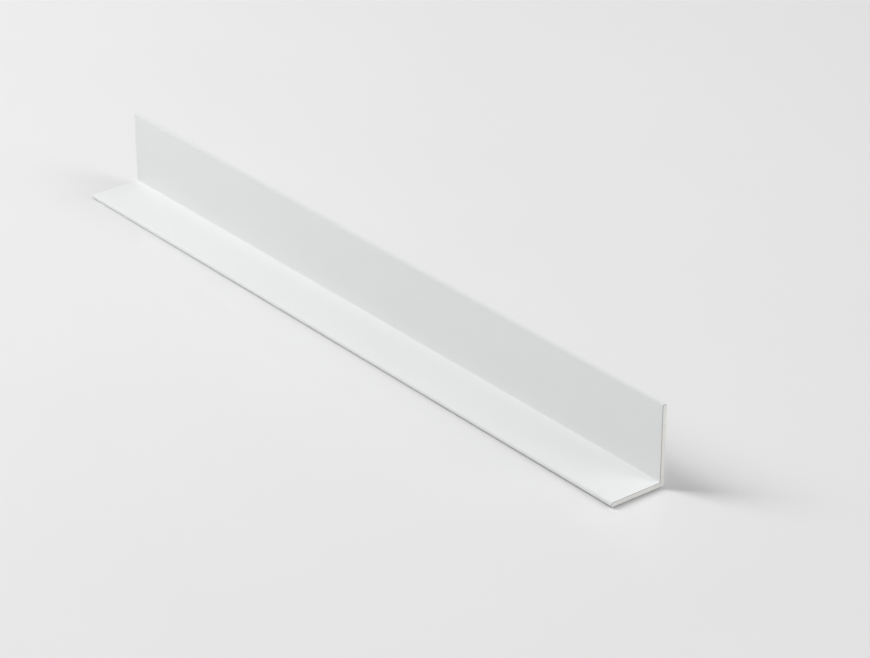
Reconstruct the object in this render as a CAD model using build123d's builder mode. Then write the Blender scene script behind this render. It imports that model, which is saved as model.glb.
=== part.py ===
"""Unequal aluminium angle trim, white powder coated: one extruded L section, sawn square to length.

The flat leg lies on the floor and points to -Y, and the upright leg stands along its back edge, at +Y.
The length runs along X. The origin is on the floor, under the middle of the profile's box.
"""

import os

from build123d import *

# Driving dimensions, in millimetres
LENGTH = 200.0  # from one saw cut to the other
FLAT_LEG = 15.0  # outer width of the leg that lies on the floor
UPRIGHT_LEG = 20.0  # outer height of the leg that stands
WALL = 1.2  # thickness of both legs, coating included
ROOT_RADIUS = 0.3  # inside of the corner between the legs
HEEL_RADIUS = 0.5  # outside of that corner
TIP_RADIUS = 0.5  # long edges at the tip of each leg
SAW_BEVEL = 0.12  # deburred edge round each sawn end

# Places in the section, as Y and Z
BACK = FLAT_LEG / 2
FRONT = BACK - FLAT_LEG
INNER_FACE = BACK - WALL
HEEL = (BACK, 0)
ROOT = (INNER_FACE, WALL)
FLAT_TIP = ((FRONT, 0), (FRONT, WALL))
UPRIGHT_TIP = ((INNER_FACE, UPRIGHT_LEG), (BACK, UPRIGHT_LEG))

# A tip's two roundings share the wall, with a flat left between them
MOST_OF_HALF_WALL = 0.45
tip_radius = min(TIP_RADIUS, MOST_OF_HALF_WALL * WALL)

# The bevel of a cut stays well inside the roundings that it runs along
PART_OF_ROUNDING = 0.6
saw_bevel = min(SAW_BEVEL, PART_OF_ROUNDING * min(tip_radius, HEEL_RADIUS))

with BuildPart() as angle_profile:
    with BuildSketch(Plane.YZ) as section:
        with BuildLine():
            Polyline(FLAT_TIP[0], HEEL, UPRIGHT_TIP[1], UPRIGHT_TIP[0], ROOT, FLAT_TIP[1], close=True)
        make_face()
        fillet(section.vertices().sort_by_distance(ROOT)[0], ROOT_RADIUS)
        fillet(section.vertices().sort_by_distance(HEEL)[0], HEEL_RADIUS)
        for corner in FLAT_TIP + UPRIGHT_TIP:
            fillet(section.vertices().sort_by_distance(corner)[0], tip_radius)
    extrude(amount=LENGTH / 2, both=True)
    sawn_ends = angle_profile.faces().filter_by(Axis.X)
    chamfer(sawn_ends.edges(), saw_bevel)

angle_profile.part.label = "angle_profile"

os.makedirs("parts", exist_ok=True)
export_step(angle_profile.part, "parts/angle_profile.step")
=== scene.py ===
"""Looks, light and camera for a white coated aluminium angle profile that lies on a pale table."""

from math import cos, pi, radians, sin

import bpy
from mathutils import Matrix, Vector


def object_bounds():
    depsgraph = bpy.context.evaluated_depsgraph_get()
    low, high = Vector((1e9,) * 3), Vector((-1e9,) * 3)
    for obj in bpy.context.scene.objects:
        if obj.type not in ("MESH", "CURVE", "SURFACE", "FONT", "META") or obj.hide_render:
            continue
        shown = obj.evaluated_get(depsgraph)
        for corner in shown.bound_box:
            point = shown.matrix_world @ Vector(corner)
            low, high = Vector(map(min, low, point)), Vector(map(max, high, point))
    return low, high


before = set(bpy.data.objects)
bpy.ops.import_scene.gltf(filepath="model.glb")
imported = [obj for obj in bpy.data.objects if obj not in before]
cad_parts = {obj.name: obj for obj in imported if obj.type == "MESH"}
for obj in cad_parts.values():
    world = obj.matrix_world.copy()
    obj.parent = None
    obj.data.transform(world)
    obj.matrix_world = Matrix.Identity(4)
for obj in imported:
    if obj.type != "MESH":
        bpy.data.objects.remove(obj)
cad_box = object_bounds()

MM = 0.001
WHITE = (1, 1, 1, 1)

# Camera: azimuth 0 looks along +Y, and the aim is measured from the profile's origin
VIEW_AZIMUTH, VIEW_ELEVATION = 51.35, 27.11
VIEW_DISTANCE = 732 * MM
AIM_RIGHT, AIM_UP = 19.31 * MM, 0.09 * MM
LENS, SENSOR_WIDTH = 129.0, 36.0
NEAREST_SEEN, FARTHEST_SEEN = 0.01, 50.0

# Softboxes: a share of 1 lights a white surface that faces the softbox to full white
SOFTBOXES = {
    "key_softbox": {"azimuth": -54, "elevation": 46, "distance": 1.15, "size": (0.42, 0.90), "share": 0.815},
    "fill_softbox": {"azimuth": 119, "elevation": 37, "distance": 1.40, "size": (0.75, 0.78), "share": 0.33},
    "rim_softbox": {"azimuth": 161, "elevation": 42, "distance": 1.40, "size": (0.25, 0.45), "share": 0.08},
}

# Room: its light on surfaces, and how bright it looks to the camera and in reflections
AMBIENT, BACKDROP = 0.46, 0.73
# Both fall to the ceiling's share between these heights, in degrees above the horizon
CEILING = 0.45
DIM_FROM, DIM_TO = 15, 36

# Table: it lies a hair under the profile, lower towards +X, which draws the dark line along the edges
TABLE_WIDTH = 8.0
TABLE_GAP = 0.17 * MM
TABLE_TILT = 0.0013
TABLE_COLOUR = (0.835, 0.835, 0.835)
TABLE_SHADES = (0.985, 1.015)
TABLE_ROUGHNESS = (0.07, 0.10)
TABLE_GLOSS = 0.45
TABLE_MOTTLE = 60 * MM

# Powder coating
COAT_COLOUR = (0.845, 0.855, 0.856)
COAT_SHADES = (0.985, 1.015)
COAT_CLOUD = 45 * MM
COAT_ROUGHNESS = (0.60, 0.68)
COAT_GLOSS = 0.2
ORANGE_PEEL, ORANGE_PEEL_DEPTH = 1.6 * MM, 0.004 * MM
DIE_LINE, DIE_LINE_DEPTH = 0.5 * MM, 0.0015 * MM
DIE_LINE_STRETCH = 0.004
GRAIN, GRAIN_DEPTH = 0.12 * MM, 0.0008 * MM

# Top edge of the upright leg: the factor that darkens the coating's colour there, as painted shade that
# hides the bright line its rounded tip catches, and the depths below the top at which that starts and is
# complete
PAINTED_EDGE_SHADE = 0.90
EDGE_SHADE_START, EDGE_SHADE_COMPLETE = 0.5 * MM, 0.125 * MM

# Bare metal at the cuts: a scraped bevel with a chipped border, its colour darkened as painted shade along
# the cut's edges, and the face that the saw left
SAW_BEVEL = 0.12 * MM
CHIP, CHIP_DEPTH = 0.9 * MM, 0.05 * MM
SAWN_FACE_DEPTH = 0.01 * MM
BEVEL_SHADE_COLOUR, BEVEL_ROUGHNESS = (0.57, 0.565, 0.55), 0.5
SAWN_COLOUR, SAWN_ROUGHNESS = (0.94, 0.93, 0.90), (0.44, 0.6)
SAWN_SHADES = (0.92, 1.06)
CUT_METALLIC = 0.2
SAW_MARK, SAW_MARK_DEPTH = 0.25 * MM, 0.010 * MM
SAW_MARK_TURN, SAW_MARK_STRETCH = 25, 0.05

# Sockets of a colour Mix node, which share their names with its other kinds
MIX_FACTOR, MIX_A, MIX_B, MIX_COLOUR = 0, 6, 7, 2


def direction(azimuth, elevation):
    """Unit vector from the profile's origin towards that place in the studio, both in degrees."""
    a, e = radians(azimuth), radians(elevation)
    return Vector((sin(a) * cos(e), -cos(a) * cos(e), sin(e)))


def feed(tree, node, inputs):
    """Gives each named input a plain value or another node's output."""
    for name, value in inputs.items():
        if isinstance(value, bpy.types.NodeSocket):
            tree.links.new(value, node.inputs[name])
        else:
            node.inputs[name].default_value = value


def add(tree, kind, inputs, **settings):
    """New node of that kind."""
    node = tree.nodes.new(kind)
    for name, value in settings.items():
        setattr(node, name, value)
    feed(tree, node, inputs)
    return node


def calculate(tree, operation, *values):
    return add(tree, "ShaderNodeMath", dict(enumerate(values)), operation=operation).outputs[0]


def coordinate(tree, vector, axis):
    return add(tree, "ShaderNodeSeparateXYZ", {"Vector": vector}).outputs[axis]


def noise(tree, position, width):
    """Noise from 0 to 1 whose patches are about that wide."""
    return add(tree, "ShaderNodeTexNoise", {"Vector": position, "Scale": 1 / width}).outputs[0]


def stretched(tree, position, scale, turn=(0, 0, 0)):
    """The position turned, in degrees, and scaled: a pattern grows long along an axis with a small scale."""
    inputs = {"Vector": position, "Rotation": [radians(t) for t in turn], "Scale": scale}
    return add(tree, "ShaderNodeMapping", inputs).outputs[0]


def between(tree, value, low, high, start=0.0, end=1.0):
    """The value from start to end, carried over to the range from low to high."""
    inputs = {"Value": value, "From Min": start, "From Max": end, "To Min": low, "To Max": high}
    return add(tree, "ShaderNodeMapRange", inputs).outputs[0]


def mix(tree, factor, a, b):
    """Colour that goes from a to b as the factor goes from 0 to 1."""
    inputs = {MIX_FACTOR: factor, MIX_A: a, MIX_B: b}
    return add(tree, "ShaderNodeMix", inputs, data_type="RGBA").outputs[MIX_COLOUR]


def shaded(tree, value, colour, shades):
    """The colour, made a little darker or lighter where the value is low or high."""
    dark, light = ([shade * c for c in colour] + [1] for shade in shades)
    return mix(tree, value, dark, light)


def bump(tree, height, depth, normal=None):
    """Relief of that depth in metres, on top of the relief that a given normal already has."""
    inputs = {"Distance": depth, "Height": height}
    if normal is not None:
        inputs["Normal"] = normal
    return add(tree, "ShaderNodeBump", inputs).outputs[0]


def new_material(name):
    """Material, its node tree, its shader, and a position in metres in the object's own frame."""
    material = bpy.data.materials.new(name)
    material.use_nodes = True
    tree = material.node_tree
    shader = tree.nodes["Principled BSDF"]
    position = add(tree, "ShaderNodeTexCoord", {}).outputs["Object"]
    return material, tree, shader, position


def cut_masks(tree, position):
    """1 where the coating is scraped off round a cut, and 1 on the face of the cut itself."""
    half_length = cad_box[1][0]
    reach = calculate(tree, "ABSOLUTE", coordinate(tree, position, "X"))
    chips = noise(tree, position, CHIP)
    ragged_reach = calculate(tree, "MULTIPLY_ADD", chips, CHIP_DEPTH, reach)
    bare = calculate(tree, "GREATER_THAN", ragged_reach, half_length - SAW_BEVEL + CHIP_DEPTH / 2)
    sawn = calculate(tree, "GREATER_THAN", reach, half_length - SAWN_FACE_DEPTH)
    return bare, sawn


def painted_edge_shade_mask(tree, position):
    """Rises to 1 over the upright leg's rounded tip, where painted shade hides the bright line that the tip
    catches.
    """
    top = cad_box[1][2]
    return between(tree, coordinate(tree, position, "Z"), 0, 1, top - EDGE_SHADE_START, top - EDGE_SHADE_COMPLETE)


def saw_pattern(tree, position):
    """Noise drawn out into the slanting marks of a saw."""
    slanting = stretched(tree, position, (1, SAW_MARK_STRETCH, 1), (SAW_MARK_TURN, 0, 0))
    return noise(tree, slanting, SAW_MARK)


def metal_colour(tree, position, clouds, saw_marks, bare, sawn):
    coat = shaded(tree, clouds, COAT_COLOUR, COAT_SHADES)
    # painted shade along the upright's top edge, so that its rounded tip shows no bright line
    edge_shaded_coat = shaded(tree, clouds, [PAINTED_EDGE_SHADE * c for c in COAT_COLOUR], COAT_SHADES)
    coat = mix(tree, painted_edge_shade_mask(tree, position), coat, edge_shaded_coat)
    # the bevel's bare metal, darker than the sawn face: painted shade along the cut's edges
    scraped = mix(tree, bare, coat, [*BEVEL_SHADE_COLOUR, 1])
    return mix(tree, sawn, scraped, shaded(tree, saw_marks, SAWN_COLOUR, SAWN_SHADES))


def metal_roughness(tree, clouds, saw_marks, bare, sawn):
    coat = between(tree, clouds, *COAT_ROUGHNESS)
    scraped = between(tree, bare, coat, BEVEL_ROUGHNESS)
    return between(tree, sawn, scraped, between(tree, saw_marks, *SAWN_ROUGHNESS))


def metal_relief(tree, position, saw_marks, sawn):
    """Orange peel, lines along the extrusion and a fine grain, and the saw's marks on the cuts."""
    die_lines = noise(tree, stretched(tree, position, (DIE_LINE_STRETCH, 1, 1)), DIE_LINE)
    normal = bump(tree, noise(tree, position, ORANGE_PEEL), ORANGE_PEEL_DEPTH)
    normal = bump(tree, die_lines, DIE_LINE_DEPTH, normal)
    normal = bump(tree, noise(tree, position, GRAIN), GRAIN_DEPTH, normal)
    return bump(tree, calculate(tree, "MULTIPLY", saw_marks, sawn), SAW_MARK_DEPTH, normal)


def coated_metal():
    """White powder coating, with bare aluminium at the two cuts, and painted shade on the upright's top edge
    and on the cuts' bevels.
    """
    material, tree, shader, position = new_material("white_coating")
    bare, sawn = cut_masks(tree, position)
    clouds = noise(tree, position, COAT_CLOUD)
    saw_marks = saw_pattern(tree, position)
    feed(tree, shader, {
        "Base Color": metal_colour(tree, position, clouds, saw_marks, bare, sawn),
        "Metallic": between(tree, bare, 0, CUT_METALLIC),
        "Roughness": metal_roughness(tree, clouds, saw_marks, bare, sawn),
        "Specular IOR Level": COAT_GLOSS,
        "Normal": metal_relief(tree, position, saw_marks, sawn),
    })
    return material


def table_top():
    """Pale, faintly mottled laminate, glossy enough for a faint mirror image of the profile."""
    material, tree, shader, position = new_material("table_top")
    mottle = noise(tree, position, TABLE_MOTTLE)
    feed(tree, shader, {
        "Base Color": shaded(tree, mottle, TABLE_COLOUR, TABLE_SHADES),
        "Roughness": between(tree, mottle, *TABLE_ROUGHNESS),
        "Specular IOR Level": TABLE_GLOSS,
    })
    return material


def dress_profile():
    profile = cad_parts["angle_profile"]
    profile.data.materials.clear()
    profile.data.materials.append(coated_metal())


def lay_table():
    place, tilt = (0, 0, -TABLE_GAP), (0, TABLE_TILT, 0)
    bpy.ops.mesh.primitive_plane_add(size=TABLE_WIDTH, location=place, rotation=tilt)
    table = bpy.context.object
    table.name = "table"
    table.data.materials.append(table_top())


def hang_softbox(name, azimuth, elevation, distance, size, share):
    """Lamp that faces the profile, hidden from reflections so that the table shows no glare."""
    towards = direction(azimuth, elevation)
    lamp = bpy.data.lights.new(name, "AREA")
    lamp.shape = "RECTANGLE"
    lamp.size, lamp.size_y = size
    lamp.energy = share * (pi * distance) ** 2
    softbox = bpy.data.objects.new(name, lamp)
    softbox.location = towards * distance
    softbox.rotation_euler = towards.to_track_quat("Z", "Y").to_euler()
    softbox.visible_glossy = False
    bpy.context.scene.collection.objects.link(softbox)


def fill_room():
    """Light from all round, and a pale backdrop for the camera and reflections, both dimmer overhead."""
    world = bpy.data.worlds.new("room")
    world.use_nodes = True
    tree = world.node_tree
    rays = add(tree, "ShaderNodeLightPath", {}).outputs
    mirrored = calculate(tree, "MAXIMUM", rays["Is Glossy Ray"], rays["Is Transmission Ray"])
    seen = calculate(tree, "MAXIMUM", rays["Is Camera Ray"], mirrored)
    at_horizon = between(tree, seen, AMBIENT, BACKDROP)
    towards = add(tree, "ShaderNodeTexCoord", {}).outputs["Generated"]
    low, high = sin(radians(DIM_FROM)), sin(radians(DIM_TO))
    dimming = between(tree, coordinate(tree, towards, "Z"), 1, CEILING, low, high)
    strength = calculate(tree, "MULTIPLY", at_horizon, dimming)
    feed(tree, tree.nodes["Background"], {"Color": WHITE, "Strength": strength})
    bpy.context.scene.world = world


def place_camera():
    back = direction(VIEW_AZIMUTH, VIEW_ELEVATION)
    right = direction(VIEW_AZIMUTH + 90, 0)
    up = back.cross(right)
    eye = right * AIM_RIGHT + up * AIM_UP + back * VIEW_DISTANCE
    data = bpy.data.cameras.new("camera")
    data.lens, data.sensor_width = LENS, SENSOR_WIDTH
    data.clip_start, data.clip_end = NEAREST_SEEN, FARTHEST_SEEN
    camera = bpy.data.objects.new("camera", data)
    camera.matrix_world = Matrix.Translation(eye) @ Matrix((right, up, back)).transposed().to_4x4()
    bpy.context.scene.collection.objects.link(camera)
    bpy.context.scene.camera = camera


dress_profile()
lay_table()
for name, settings in SOFTBOXES.items():
    hang_softbox(name, **settings)
fill_room()
place_camera()
bpy.context.scene.view_settings.view_transform = "Standard"
